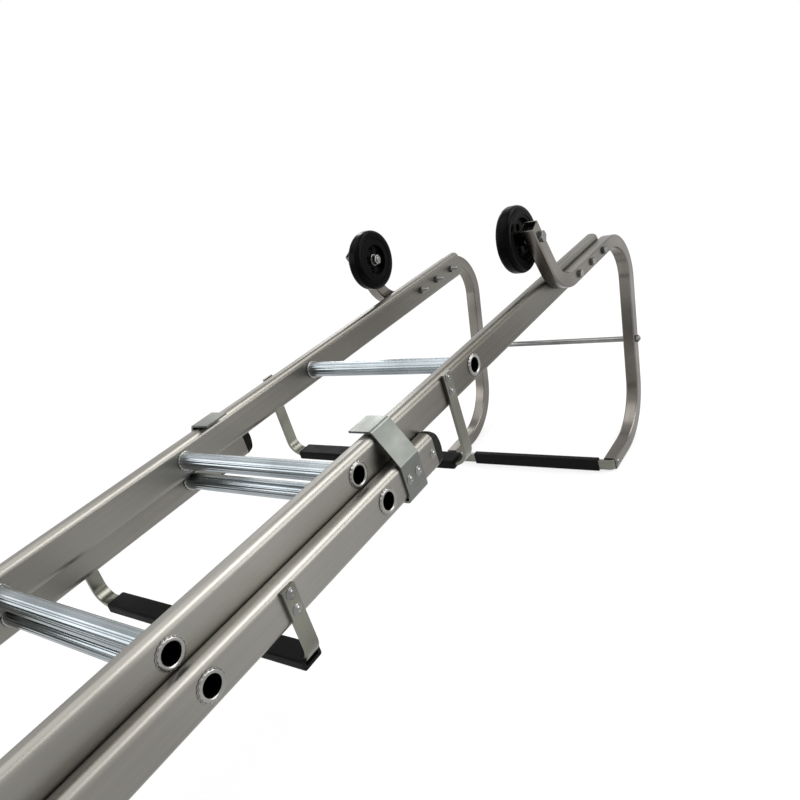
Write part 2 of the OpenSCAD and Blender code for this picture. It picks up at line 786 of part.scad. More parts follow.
module lower_section_rivets() {
    color(steel_tone) both_sides() {
        at(lower_strap_rivets) rivet(lower_out + strap_t, strap_t + rail_wall, rivet_d, rivet_head_d);
        at(foot_strap_rivets) rivet(lower_out + strap_t, strap_t + rail_wall, rivet_d, rivet_head_d);
        at(guide_rivet_places) rivet(lower_out + plate_t, plate_t + rail_wall, rivet_d, rivet_head_d);
        at(lower_cap_rivets) rivet(lower_out, rail_wall, rivet_d, rivet_head_d);
    }
}

// Rung catches

module rung_catch() {
    color(zinc_tone) at([catch_place]) along_x(catch_in, catch_out) difference() {
        union() {
            circle(catch_w / 2);
            translate([0, -catch_w / 2]) square([catch_len, catch_w]);
            translate(catch_hold) square([catch_len - catch_hold.x, -catch_hold.y]);
        }
        translate(catch_hold) circle(rung_d / 2 + catch_play);
        circle(catch_pin_d / 2 + fit);
    }
}

module catch_pivots() {
    grip = run_gap + catch_t + catch_gap + rail_wall;
    color(steel_tone) both_sides() at([catch_place]) translate([catch_in - run_gap, 0, 0]) mirror([1, 0, 0])
        rivet(0, grip, catch_pin_d, 2 * catch_pin_d);
}

// Nodes

for (side = SIDES) {
    on(side) upper_rail();
    on(side) lower_rail();
    on(side) ridge_hook();
    on(side) tyre();
    on(side) wheel_hub();
    on(side) guide_bracket();
    on(side) foot_guide();
    on(side) end_cap(lower_mid, lower_z, lower_head_y, false);
    on(side) end_cap(lower_mid, lower_z, lower_foot_y, true);
    on(side) end_cap(upper_mid, 0, upper_foot_y, true);
    on(side) rung_catch();
}
for (i = [1 : section_rungs]) {
    rung(upper_rung_places[i - 1], upper_in, upper_out);
    rung(lower_rung_places[i - 1], lower_in, lower_out);
}
hook_bolts();
hook_nuts();
hook_tie_rod();
tie_rod_nuts();
ridge_bar();
ridge_sleeve();
ridge_bar_rivets();
wheel_axle_bolts();
wheel_axle_nuts();
wheel_washers();
bearer_strap(upper_bearer_y, upper_out, upper_strap_rise, upper_strap_rivets);  // upper_bearer_strap
bearer_sleeve(upper_bearer_y, upper_out);  // upper_bearer_sleeve
bearer_strap(lower_bearer_y, lower_out, lower_strap_top, lower_strap_rivets);  // lower_bearer_strap
bearer_sleeve(lower_bearer_y, lower_out);  // lower_bearer_sleeve
bearer_strap(foot_bearer_y, lower_out, lower_strap_top, foot_strap_rivets);  // foot_bearer_strap
bearer_sleeve(foot_bearer_y, lower_out);  // foot_bearer_sleeve
upper_section_rivets();
lower_section_rivets();
catch_pivots();
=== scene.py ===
"""Looks of an extending roof ladder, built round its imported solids, in metres."""
import math

import bmesh
import bpy
from mathutils import Matrix, Vector


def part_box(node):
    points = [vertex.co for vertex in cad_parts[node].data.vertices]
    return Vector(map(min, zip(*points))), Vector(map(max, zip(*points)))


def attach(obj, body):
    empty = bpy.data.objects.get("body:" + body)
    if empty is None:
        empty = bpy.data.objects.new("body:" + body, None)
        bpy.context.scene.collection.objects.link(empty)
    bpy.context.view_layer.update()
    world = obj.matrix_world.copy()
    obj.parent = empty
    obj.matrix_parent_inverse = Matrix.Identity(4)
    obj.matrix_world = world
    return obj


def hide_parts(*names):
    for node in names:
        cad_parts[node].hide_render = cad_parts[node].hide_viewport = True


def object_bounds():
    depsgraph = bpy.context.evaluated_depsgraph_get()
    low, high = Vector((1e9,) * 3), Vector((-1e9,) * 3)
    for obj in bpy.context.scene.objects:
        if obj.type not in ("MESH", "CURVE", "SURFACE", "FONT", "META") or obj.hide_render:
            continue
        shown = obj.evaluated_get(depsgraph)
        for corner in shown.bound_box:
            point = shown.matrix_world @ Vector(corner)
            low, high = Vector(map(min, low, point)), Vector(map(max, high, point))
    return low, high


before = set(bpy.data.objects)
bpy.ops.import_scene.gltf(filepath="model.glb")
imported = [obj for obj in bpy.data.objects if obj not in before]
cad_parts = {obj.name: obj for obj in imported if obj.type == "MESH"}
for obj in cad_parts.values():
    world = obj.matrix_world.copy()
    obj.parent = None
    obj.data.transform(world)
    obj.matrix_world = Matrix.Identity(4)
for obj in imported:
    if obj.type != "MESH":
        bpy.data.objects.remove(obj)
cad_low, cad_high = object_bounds()

MM = 0.001
SIDES = ("left", "right")
RUNGS = range(1, 9)
UPPER = "upper_section"
LOWER = "lower_section"
SECTIONS = {"upper": UPPER, "lower": LOWER}

# Fineness of meshes, with sharp turns in degrees and steps as counts
MERGE_DISTANCE = 0.002 * MM
FLAT_TURN = math.radians(0.6)
BEND_STEP = math.radians(3)
EASE_SEGMENTS = 2
EASE_PROFILE = 0.6
PLATE_SHARP = 32
SWEPT_SHARP = 40
TURNED_SHARP = 25
CORNER_STEPS = 5
STRAP_CORNER_STEPS = 3
COARSE_STEPS = 32
MIDDLE_STEPS = 48
FINE_STEPS = 96
SORT_DIGITS = 5

# Eased edges of plain pieces
RAIL_EDGE = 0.35 * MM
PLATE_EDGE = 0.5 * MM
CAP_EDGE = 0.6 * MM
HUB_EDGE = 0.8 * MM
RIDGE_SLEEVE_EDGE = 0.7 * MM

# Ridge hook, as corners of its centre line in Y and Z
TUBE_W = 25 * MM
TUBE_WALL = 2 * MM
TUBE_CORNER = 3 * MM
TUBE_EDGE = 0.3 * MM
TUBE_BORE_W = TUBE_W - 2 * TUBE_WALL
TUBE_BORE_CORNER = 1.8 * MM
HOOK_RISE = 2 * MM
HOOK_DROP = 400 * MM
LEG_LEAN = math.radians(16.3)
ARM_CORNER_Y = 298 * MM
ARM_TURN = math.radians(66)
ARM_LENGTH = 143 * MM
TOP_CORNER_Y = 650 * MM
TIP_Y = 364 * MM
HOOK_BENDS = (80 * MM, 80 * MM, 127 * MM)

# Bent flat bars and the sleeves on them
STRAP_T = 5 * MM
STRAP_BEND = 22.5 * MM
STRAP_CORNER = 0.8 * MM
STRAP_EDGE = 0.5 * MM
RIDGE_BAR_T = 8 * MM
RIDGE_BEND = 8 * MM
SLEEVE_CORNER = 3 * MM
SLEEVE_EDGE = 0.6 * MM
LATE_START = 8 * MM
PAST_BEND = 15 * MM

# Rungs
RUNG_R = 12.5 * MM
BORE_R = 10.5 * MM
BORE_MARGIN = 0.3 * MM
FLUTES = 20
FLUTE_STEPS = 9
FLUTE_DEPTH = 0.4 * MM
BEAD_R = 15.5 * MM
BEAD_T = 3 * MM
BEAD_LIP = 0.6 * MM
BEAD_STEPS = 6
FLARE_R = 17 * MM
FLARE_T = 2.6 * MM
FLARE_EASE = 0.4 * MM
RIM_T = 0.9 * MM
RIM_FALL = 0.2 * MM
RIM_STEP = 0.3 * MM
ROLL_R = 13.5 * MM
ROLL_HALF = 2.5 * MM
ROLL_STEPS = 12
MOUTH_DEPTH = 2 * MM
MOUTH_EASE = 0.4 * MM
THROAT_DEPTH = 6 * MM
SCALLOPS = 18
SCALLOP_DEPTH = 0.9 * MM
SCALLOP_FROM = RUNG_R + 2.4 * MM

# Wheels
TYRE_SHOULDER = 9 * MM
SHOULDER_STEPS = 8
HUB_R = 40 * MM
TYRE_SEAT_INSET = 1 * MM
WALL_INSET = 0.3 * MM
WALL_FOOT = 0.2 * MM
WALL_RISE = 0.8 * MM

# Rivets, with the shape of their heads in shares of a head's radius and height
RIVET_HEAD_R = 6.5 * MM
RIVET_HEAD_H = 3 * MM
RIVET_SHANK_R = 2.5 * MM
RIVET_GRIP = 8 * MM
PIVOT_R = 4 * MM
PIVOT_HEAD_R = 8 * MM
HEAD_WALL_SHARE = 0.12
HEAD_CROWN_SHARE = 0.72
HEAD_STEPS = 8
DIMPLE_RIM_SHARES = (0.93, 0.22)
DIMPLE_WALL_SHARES = (0.8, 0.17)

# Bolts, nuts and washers
HOOK_BOLT_R = 4 * MM
HOOK_BOLT_FLATS = 13 * MM
HOOK_BOLT_HEAD = 5.3 * MM
HOOK_THREAD = 22 * MM
AXLE_R = 5 * MM
AXLE_FLATS = 17 * MM
AXLE_HEAD = 6.4 * MM
AXLE_THREAD = 14 * MM
THREAD_PITCH = 1.25 * MM
THREAD_DEPTH = 0.45 * MM
THREAD_END_DEPTH = 0.63 * MM
HEX_SIDES = 6
HEX_SLOPE_SHARE = 0.6
HEX_EDGE = 0.25 * MM
HEAD_EASE = 0.9 * MM
HEAD_LIFT = 0.4 * MM
HEAD_FACE_T = 0.5 * MM
HEAD_FACE_SHARE = 0.47
SHANK_LAP = 0.2 * MM
NUT_EASE = 0.8 * MM
NUT_SET_BACK = 0.3 * MM
NUT_FACE_T = 0.5 * MM
NUT_FACE_SHARES = (0.46, 0.44)
NUT_BORE_GAP = 0.1 * MM
NUT_MOUTH_GAP = 0.4 * MM
WASHER_R = 11 * MM
WASHER_T = 2 * MM
WASHER_EASE = 0.3 * MM
WASHER_GAP = 0.1 * MM
ROD_EASE = 0.6 * MM
ROD_STEP = 0.5 * MM
ROD_GAP = 0.05 * MM

# Finishes: noises as detail and roughness, the spans of them that show, and how they wear
NOISES = {"lines": (2.0, 0.55), "clouds": (2.0, 0.5), "scuffs": (3.0, 0.7), "pits": (3.0, 0.55),
          "dust": (5.0, 0.65)}
WIDE_SPAN = (0.3, 0.7)
CLOUD_SPAN = (0.36, 0.64)
SCUFF_SPAN = (0.62, 0.78)
DUST_SPAN = (0.45, 0.75)
# Shift of the metal clouds. On the rails it sets their light and dark patches as painted reflection
OXIDE_AND_REFLECTION_SHIFT = (17, 4.22, 9)
CLOUD_STRETCH = (14, 9, 14)
SCUFF_STRETCH = (160, 60, 220)
LINE_WEAR = 0.03
SCUFF_WEAR = 0.05
METAL_DEPTH = 0.1 * MM
SPANGLE_STRETCH = (170, 170, 170)
SPANGLE_SHARE = 0.08
ZINC_CLOUD_STRETCH = (26, 14, 26)
ZINC_WEAR = 0.08
ZINC_BUMP = 0.03
DUST_STRETCH = (45, 45, 45)
DUST_POLISH = 0.07
DUST_WEAR = 0.1
GRAIN_DEPTH = 0.2 * MM
# Painted shade on the rails: darker along Y towards the head end over this span in metres, up to this share
RAIL_SHADE_SPAN = (-0.45, -0.05)
RAIL_SHADE_SHARE = 0.58
# Near-black painted shade inside the rung bores
BORE_SHADE_TONE = (0.012, 0.012, 0.012)


# Node trees

def add(tree, kind, inputs=None, **settings):
    """A node with its settings, and its inputs linked to sockets or set to values."""
    node = tree.nodes.new(kind)
    for key, value in settings.items():
        setattr(node, key, value)
    for key, value in (inputs or {}).items():
        if isinstance(value, bpy.types.NodeSocket):
            tree.links.new(value, node.inputs[key])
        else:
            node.inputs[key].default_value = value
    return node


def calculated(tree, operation, a, b):
    """What an operation makes of two values."""
    return add(tree, "ShaderNodeMath", {0: a, 1: b}, operation=operation).outputs[0]


def noise(tree, kind, coords, stretch, shift=(0, 0, 0)):
    """A kind of noise over coordinates stretched by a scale for each axis, then shifted."""
    detail, roughness = NOISES[kind]
    mapped = add(tree, "ShaderNodeMapping", {"Vector": coords, "Scale": stretch, "Location": shift})
    return add(tree, "ShaderNodeTexNoise",
               {"Vector": mapped.outputs["Vector"], "Scale": 1.0, "Detail": detail,
                "Roughness": roughness}).outputs["Fac"]


def ranged(tree, value, span, to_low, to_high):
    """A value spread from its span to another, and held at its ends."""
    return add(tree, "ShaderNodeMapRange",
               {"Value": value, "From Min": span[0], "From Max": span[1], "To Min": to_low,
                "To Max": to_high}).outputs["Result"]


def colour_sockets(sockets):
    """Those of a node's sockets that hold a colour."""
    return [s for s in sockets if s.type == "RGBA"]


def colour_mix(tree, share, tone, other):
    """A mix of two colours, the first of which may be a socket."""
    mix = add(tree, "ShaderNodeMix", data_type="RGBA")
    tree.links.new(share, mix.inputs[0])
    first, second = colour_sockets(mix.inputs)
    second.default_value = (*other, 1)
    if isinstance(tone, bpy.types.NodeSocket):
        tree.links.new(tone, first)
    else:
        first.default_value = (*tone, 1)
    return colour_sockets(mix.outputs)[0]


def new_finish(name):
    """A material, its tree, its shader and the coordinates of its pieces."""
    finish = bpy.data.materials.new(name)
    finish.use_nodes = True
    tree = finish.node_tree
    shader = next(n for n in tree.nodes if n.type == "BSDF_PRINCIPLED")
    coords = add(tree, "ShaderNodeTexCoord").outputs
    return finish, tree, shader, coords


def bumped(tree, shader, height, strength, distance):
    """Gives a shader fine relief from a height."""
    bump = add(tree, "ShaderNodeBump", {"Height": height, "Strength": strength, "Distance": distance})
    tree.links.new(bump.outputs["Normal"], shader.inputs["Normal"])


def drawn_metal(name, tone, dark_tone, roughness, stretch, bump, streaks=0.4, cloud=CLOUD_STRETCH,
                source="Object", bore_shade=None, painted_shade=None):
    """Drawn metal, with its name: fine lines along it, clouds of oxide and painted reflection, and a few
    scuffs.

    A finish given the name of a bore attribute turns near black where that attribute is 1: painted shade
    in the bore. A finish given a span and a share darkens along Y towards the head end over that span in
    metres, up to that share of the dark tone: painted shade standing in for the dark reflections there.
    """
    finish, tree, shader, coords = new_finish(name)
    lines = noise(tree, "lines", coords[source], stretch)
    # Clouds: oxide tone, and on the rails painted reflection, light and dark patches in place of
    # reflections
    clouds = noise(tree, "clouds", coords["Object"], cloud, OXIDE_AND_REFLECTION_SHIFT)
    scuffs = noise(tree, "scuffs", coords["Object"], SCUFF_STRETCH)
    shade_span, shade_share = painted_shade or (None, 0)
    darkening = calculated(tree, "ADD", ranged(tree, lines, WIDE_SPAN, 0, streaks),
                        ranged(tree, clouds, CLOUD_SPAN, 0, 1 - streaks - shade_share))
    # Painted shade: darker along Y towards the head end, standing in for dark reflections there
    if painted_shade:
        along = add(tree, "ShaderNodeSeparateXYZ", {"Vector": coords["Object"]}).outputs["Y"]
        darkening = calculated(tree, "ADD", darkening, ranged(tree, along, shade_span, 0, shade_share))
    colour = colour_mix(tree, darkening, tone, dark_tone)
    # Painted shade: the points marked as bore turn near black
    if bore_shade:
        depth = add(tree, "ShaderNodeAttribute", attribute_name=bore_shade).outputs["Fac"]
        colour = colour_mix(tree, depth, colour, BORE_SHADE_TONE)
    tree.links.new(colour, shader.inputs["Base Color"])
    worn = calculated(tree, "ADD",
                      ranged(tree, lines, WIDE_SPAN, roughness - LINE_WEAR, roughness + LINE_WEAR),
                      ranged(tree, scuffs, SCUFF_SPAN, 0, SCUFF_WEAR))
    tree.links.new(worn, shader.inputs["Roughness"])
    shader.inputs["Metallic"].default_value = 1.0
    bumped(tree, shader, lines, bump, METAL_DEPTH)
    return name, finish


def zinc_plate(name, tone, dark_tone, roughness):
    """Zinc plating, with its name: a faint spangle with a passivated tint."""
    finish, tree, shader, coords = new_finish(name)
    mapped = add(tree, "ShaderNodeMapping", {"Vector": coords["Object"], "Scale": SPANGLE_STRETCH})
    spangle = add(tree, "ShaderNodeTexVoronoi", {"Vector": mapped.outputs["Vector"], "Scale": 1.0})
    clouds = noise(tree, "clouds", coords["Object"], ZINC_CLOUD_STRETCH)
    cells = add(tree, "ShaderNodeSeparateColor", {"Color": spangle.outputs["Color"]})
    darkening = calculated(tree, "ADD", ranged(tree, cells.outputs[0], (0, 1), 0, SPANGLE_SHARE),
                        ranged(tree, clouds, WIDE_SPAN, 0, 1 - SPANGLE_SHARE))
    tree.links.new(colour_mix(tree, darkening, tone, dark_tone), shader.inputs["Base Color"])
    tree.links.new(ranged(tree, clouds, WIDE_SPAN, roughness - ZINC_WEAR, roughness + ZINC_WEAR),
                   shader.inputs["Roughness"])
    shader.inputs["Metallic"].default_value = 1.0
    bumped(tree, shader, clouds, ZINC_BUMP, METAL_DEPTH)
    return name, finish


def moulded(name, tone, worn_tone, roughness, grain, bump, shine):
    """Rubber or plastic, with its name: a fine grain and a little handling dust."""
    finish, tree, shader, coords = new_finish(name)
    pits = noise(tree, "pits", coords["Object"], (grain, grain, grain))
    dust = noise(tree, "dust", coords["Object"], DUST_STRETCH)
    tree.links.new(colour_mix(tree, ranged(tree, dust, DUST_SPAN, 0, 1), tone, worn_tone),
                   shader.inputs["Base Color"])
    tree.links.new(ranged(tree, dust, WIDE_SPAN, roughness - DUST_POLISH, roughness + DUST_WEAR),
                   shader.inputs["Roughness"])
    shader.inputs["Specular IOR Level"].default_value = shine
    bumped(tree, shader, pits, bump, GRAIN_DEPTH)
    return name, finish


FINISH = dict((
    # The rails' dark tone is painted shade and reflection: their clouds paint light and dark patches, and a
    # span along Y darkens them further towards the head end
    drawn_metal("rail_aluminium", tone=(0.288, 0.279, 0.256), dark_tone=(0.084, 0.078, 0.066),
                roughness=0.36, stretch=(300, 2, 300), bump=0.02, streaks=0.08, cloud=(2.5, 2.2, 2.5),
                painted_shade=(RAIL_SHADE_SPAN, RAIL_SHADE_SHARE)),
    drawn_metal("rung_aluminium", tone=(0.32, 0.355, 0.375), dark_tone=(0.225, 0.255, 0.27), roughness=0.24,
                stretch=(1.5, 40, 40), bump=0.002, streaks=0.2, bore_shade="bore"),
    drawn_metal("swaged_aluminium", tone=(0.34, 0.335, 0.32), dark_tone=(0.22, 0.216, 0.207),
                roughness=0.18, stretch=(60, 60, 60), bump=0.01, bore_shade="bore"),
    drawn_metal("hook_aluminium", tone=(0.20, 0.186, 0.168), dark_tone=(0.11, 0.101, 0.091), roughness=0.24,
                stretch=(3, 300, 1), bump=0.02, streaks=0.2, cloud=(9, 7, 9), source="UV"),
    zinc_plate("zinc_plate", tone=(0.165, 0.174, 0.16), dark_tone=(0.115, 0.122, 0.112), roughness=0.34),
    drawn_metal("strap_aluminium", tone=(0.22, 0.22, 0.187), dark_tone=(0.13, 0.13, 0.11), roughness=0.3,
                stretch=(4, 400, 1), bump=0.02, streaks=0.2, source="UV"),
    drawn_metal("bright_steel", tone=(0.24, 0.24, 0.235), dark_tone=(0.13, 0.13, 0.127), roughness=0.17,
                stretch=(60, 60, 60), bump=0.01),
    moulded("sleeve_rubber", tone=(0.0035, 0.0035, 0.0037), worn_tone=(0.007, 0.007, 0.007), roughness=0.5,
            grain=1500, bump=0.2, shine=0.06),
    moulded("tyre_rubber", tone=(0.0008, 0.0008, 0.0008), worn_tone=(0.0016, 0.0016, 0.0016), roughness=0.2,
            grain=700, bump=0.03, shine=0.035),
    moulded("hub_plastic", tone=(0.001, 0.001, 0.001), worn_tone=(0.002, 0.002, 0.002), roughness=0.3,
            grain=900, bump=0.05, shine=0.03),
    moulded("black_plastic", tone=(0.005, 0.0048, 0.0042), worn_tone=(0.01, 0.0095, 0.0085), roughness=0.36,
            grain=1200, bump=0.1, shine=0.08),
))


# Meshes

def meshed(shape, name, edge=0.0, sharp=PLATE_SHARP):
    """A mesh from a closed shape, with its sharp edges eased and smooth curved faces."""
    bmesh.ops.recalc_face_normals(shape, faces=shape.faces)
    if edge:
        crisp = [e for e in shape.edges if e.is_manifold and e.calc_face_angle(0) > math.radians(sharp)]
        bmesh.ops.bevel(shape, geom=crisp, offset=edge, segments=EASE_SEGMENTS, profile=EASE_PROFILE,
                        affect="EDGES", clamp_overlap=True)
    mesh = bpy.data.meshes.new(name)
    shape.to_mesh(mesh)
    shape.free()
    mesh.shade_smooth()
    mesh.set_sharp_from_angle(angle=math.radians(sharp))
    return mesh


def evaluated_mesh(thing):
    """The mesh that an object's modifiers make."""
    bpy.context.view_layer.update()
    return bpy.data.meshes.new_from_object(thing.evaluated_get(bpy.context.evaluated_depsgraph_get()))


def piece(name, mesh, slot, body, *nodes, finish=None):
    """A finished piece that rides on its body in place of its solids."""
    made = bpy.data.objects.new(name, mesh)
    bpy.context.scene.collection.objects.link(made)
    mesh.materials.clear()
    mesh.materials.append(FINISH[finish or slot])
    weigh = made.modifiers.new("weigh", "WEIGHTED_NORMAL")
    weigh.keep_sharp = True
    weighed = evaluated_mesh(made)
    made.modifiers.remove(weigh)
    made.data = weighed
    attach(made, body)
    if nodes:
        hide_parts(*nodes)


def merged_shape(node):
    """The shape of a solid, with its points merged."""
    shape = bmesh.new()
    shape.from_mesh(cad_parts[node].data)
    bmesh.ops.remove_doubles(shape, verts=shape.verts, dist=MERGE_DISTANCE)
    return shape


def eased_copy(node, slot, body, edge, finish=None):
    """A copy of a solid with flat faces made whole and eased edges."""
    shape = merged_shape(node)
    bmesh.ops.dissolve_limit(shape, angle_limit=FLAT_TURN, verts=shape.verts, edges=shape.edges)
    piece(node + "_eased", meshed(shape, node + "_eased", edge), slot, body, node, finish=finish)


def rounded_outline(width, height, radius, steps=CORNER_STEPS):
    """Points round a rectangle with rounded corners."""
    points = []
    for corner, (x, y) in enumerate(((1, 1), (-1, 1), (-1, -1), (1, -1))):
        for k in range(steps + 1):
            a = math.radians(90 * (corner + k / steps))
            points.append((x * (width / 2 - radius) + radius * math.cos(a),
                           y * (height / 2 - radius) + radius * math.sin(a)))
    return points


def bent_line(corners, bends):
    """Stations along a line with round bends: place, heading and distance run."""
    points = [Vector(c) for c in corners]
    ways = [math.atan2((b - a).y, (b - a).x) for a, b in zip(points, points[1:])]
    stations = [(points[0], ways[0])]
    for corner, radius, before, after in zip(points[1:], bends, ways, ways[1:]):
        turn = (after - before + math.pi) % (2 * math.pi) - math.pi
        side = math.copysign(1, turn)
        along = Vector((math.cos(before), math.sin(before)))
        left = Vector((-math.sin(before), math.cos(before)))
        middle = corner - along * radius * math.tan(abs(turn) / 2) + left * radius * side
        steps = max(2, math.ceil(abs(turn) / BEND_STEP))
        for k in range(steps + 1):
            way = before + turn * k / steps
            out = Vector((math.sin(way), -math.cos(way))) * radius * side
            stations.append((middle + out, way))
    stations.append((points[-1], ways[-1]))
    run = 0.0
    placed = []
    for i, (point, way) in enumerate(stations):
        run += (point - stations[i - 1][0]).length if i else 0.0
        placed.append((point, way, run))
    return placed


def sweep(shape, stations, outlines, place):
    """A bar along a line of stations, or a tube where there are two outlines."""
    layer = shape.loops.layers.uv.verify()
    ends = []
    for outline in outlines:
        rows = [[shape.verts.new(place(p.x - v * math.sin(way), p.y + v * math.cos(way), u))
                 for u, v in outline] for p, way, _ in stations]
        count = len(outline)
        around = [0.0]
        for j in range(count):
            around.append(around[-1] + math.dist(outline[j], outline[(j + 1) % count]))
        for i in range(len(rows) - 1):
            here, there = stations[i][2], stations[i + 1][2]
            for j in range(count):
                k = (j + 1) % count
                face = shape.faces.new((rows[i][j], rows[i][k], rows[i + 1][k], rows[i + 1][j]))
                from_edge, to_edge = around[j], around[j + 1]
                corners = ((here, from_edge), (here, to_edge), (there, to_edge), (there, from_edge))
                for loop, corner in zip(face.loops, corners):
                    loop[layer].uv = corner
        ends.append((rows[0], rows[-1]))
    for row in zip(*ends):
        if len(row) == 1:
            shape.faces.new(row[0])
        else:
            for j in range(len(row[0])):
                k = (j + 1) % len(row[0])
                shape.faces.new((row[0][j], row[0][k], row[1][k], row[1][j]))


def scallop(radius, angle):
    """How far a rung's flare dips in at an angle. The dips begin past a radius."""
    reach = min(1, (radius - SCALLOP_FROM) / SCALLOP_DEPTH)
    return SCALLOP_DEPTH * (0.5 - 0.5 * math.cos(SCALLOPS * angle)) ** 2 * max(0, reach)


def lathe(shape, profile, steps, closed=False, scalloped=False):
    """A turned shape about X, from places along X with radii."""
    rings = []
    for x, r in profile:
        if r == 0:
            rings.append([shape.verts.new((x, 0, 0))] * steps)
            continue
        ring = []
        for j in range(steps):
            a = 2 * math.pi * j / steps
            reach = r - scallop(r, a) if scalloped else r
            ring.append(shape.verts.new((x, reach * math.cos(a), reach * math.sin(a))))
        rings.append(ring)
    pairs = list(zip(rings, rings[1:])) + ([(rings[-1], rings[0])] if closed else [])
    for a, b in pairs:
        for j in range(steps):
            k = (j + 1) % steps
            corners = list(dict.fromkeys((a[j], a[k], b[k], b[j])))
            if len(corners) > 2:
                shape.faces.new(corners)


def hexagon(shape, start, end, flats, ease):
    """A hexagon bar along X with eased corners at both ends."""
    radius = flats / 2 / math.cos(math.pi / HEX_SIDES)
    slope = ease * HEX_SLOPE_SHARE
    rows = []
    for x, inset in ((start, ease), (start + slope, 0), (end - slope, 0), (end, ease)):
        turns = (2 * math.pi / HEX_SIDES * j for j in range(HEX_SIDES))
        rows.append([shape.verts.new((x, (radius - inset) * math.cos(a), (radius - inset) * math.sin(a)))
                     for a in turns])
    for a, b in zip(rows, rows[1:]):
        for j in range(HEX_SIDES):
            k = (j + 1) % HEX_SIDES
            shape.faces.new((a[j], a[k], b[k], b[j]))
    shape.faces.new(rows[0])
    shape.faces.new(rows[-1])


def thread(start, end, radius):
    """The profile of a threaded end that points to end along X."""
    way = math.copysign(1, end - start)
    turns = max(1, int(abs(end - start) / THREAD_PITCH))
    pitch = abs(end - start) / turns
    profile = []
    for k in range(turns):
        profile.append((start + way * pitch * k, radius - THREAD_DEPTH))
        profile.append((start + way * pitch * (k + 0.5), radius))
    return profile + [(end, radius - THREAD_END_DEPTH), (end, 0)]


# Repeated pieces

def copies_tree():
    """Copies of a piece at points, each turned by its point."""
    tree = bpy.data.node_groups.new("placed_copies", "GeometryNodeTree")
    for label, kind in (("Points", "Geometry"), ("Piece", "Object"), ("Finish", "Material")):
        tree.interface.new_socket(label, in_out="INPUT", socket_type="NodeSocket" + kind)
    tree.interface.new_socket("Copies", in_out="OUTPUT", socket_type="NodeSocketGeometry")
    entry = add(tree, "NodeGroupInput").outputs
    one = add(tree, "GeometryNodeObjectInfo", {"Object": entry["Piece"]})
    turn = add(tree, "GeometryNodeInputNamedAttribute", {"Name": "turn"}, data_type="FLOAT_VECTOR")
    vector = next(s for s in turn.outputs if s.enabled and s.type == "VECTOR")
    turned = add(tree, "FunctionNodeEulerToRotation", {"Euler": vector})
    placed = add(tree, "GeometryNodeInstanceOnPoints",
                 {"Points": entry["Points"], "Instance": one.outputs["Geometry"],
                  "Rotation": turned.outputs["Rotation"]})
    real = add(tree, "GeometryNodeRealizeInstances", {"Geometry": placed.outputs["Instances"]})
    painted = add(tree, "GeometryNodeSetMaterial",
                  {"Geometry": real.outputs["Geometry"], "Material": entry["Finish"]})
    leave = add(tree, "NodeGroupOutput")
    tree.links.new(painted.outputs["Geometry"], leave.inputs["Copies"])
    return tree


COPIES = copies_tree()

# Turns of a fastener whose head faces left or right
OUTWARD = {-1: (0, 0, math.pi), 1: (0, 0, 0)}


def copies(name, mesh, places, slot, body, *nodes, finish=None):
    """One piece made of copies of a mesh at places, each with its turn."""
    one = bpy.data.objects.new(name + "_one", mesh)
    points = bpy.data.meshes.new(name + "_points")
    points.from_pydata([p for p, _ in places], [], [])
    turns = points.attributes.new("turn", "FLOAT_VECTOR", "POINT")
    turns.data.foreach_set("vector", [v for _, t in places for v in t])
    holder = bpy.data.objects.new(name + "_points", points)
    for o in (one, holder):
        bpy.context.scene.collection.objects.link(o)
    spread = holder.modifiers.new("copies", "NODES")
    spread.node_group = COPIES
    keys = {s.name: s.identifier for s in COPIES.interface.items_tree if s.in_out == "INPUT"}
    spread[keys["Piece"]] = one
    spread[keys["Finish"]] = FINISH[finish or slot]
    made = evaluated_mesh(holder)
    made.name = name
    holder.modifiers.remove(spread)
    for o in (one, holder):
        bpy.data.objects.remove(o)
    piece(name, made, slot, body, *nodes, finish=finish)


def solids_of(node):
    """The lowest and highest corners of each separate solid of a node."""
    shape = merged_shape(node)
    left = set(shape.verts)
    boxes = []
    while left:
        reached = set()
        waiting = [next(iter(left))]
        while waiting:
            v = waiting.pop()
            if v in reached:
                continue
            reached.add(v)
            waiting += [e.other_vert(v) for e in v.link_edges]
        left -= reached
        low = Vector(min(v.co[i] for v in reached) for i in range(3))
        high = Vector(max(v.co[i] for v in reached) for i in range(3))
        boxes.append((low, high))
    shape.free()
    return sorted(boxes, key=lambda b: tuple(round(c, SORT_DIGITS) for c in b[0]))


def length_of(node):
    """The length along X of a node's first solid."""
    low, high = solids_of(node)[0]
    return high.x - low.x


def seats(node, depth, inward=False):
    """The places and turns of a node's fasteners, at depth behind the face of each head."""
    found = []
    for low, high in solids_of(node):
        middle = (low + high) / 2
        side = 1 if middle.x > 0 else -1
        way = -side if inward else side
        face = high.x if way > 0 else low.x
        found.append(((face - way * depth, middle.y, middle.z), OUTWARD[way]))
    return found


# Rails

for section, body in SECTIONS.items():
    for side in SIDES:
        eased_copy(f"{section}_rail_{side}", "rail_aluminium", body, RAIL_EDGE)


# Rungs

def fluted_outline(radius):
    """Points round a bar with soft flutes."""
    points = []
    for i in range(FLUTES * FLUTE_STEPS):
        a = 2 * math.pi * i / (FLUTES * FLUTE_STEPS)
        r = radius - FLUTE_DEPTH * (0.5 - 0.5 * math.cos(FLUTES * a))
        points.append((r * math.cos(a), r * math.sin(a)))
    return points


def mark_bore_shade(shape):
    """Marks the points of a bore about X, where painted shade turns the finish near black."""
    layer = shape.verts.layers.float.new("bore")
    for v in shape.verts:
        v[layer] = 1.0 if math.hypot(v.co.y, v.co.z) < BORE_R + BORE_MARGIN else 0.0


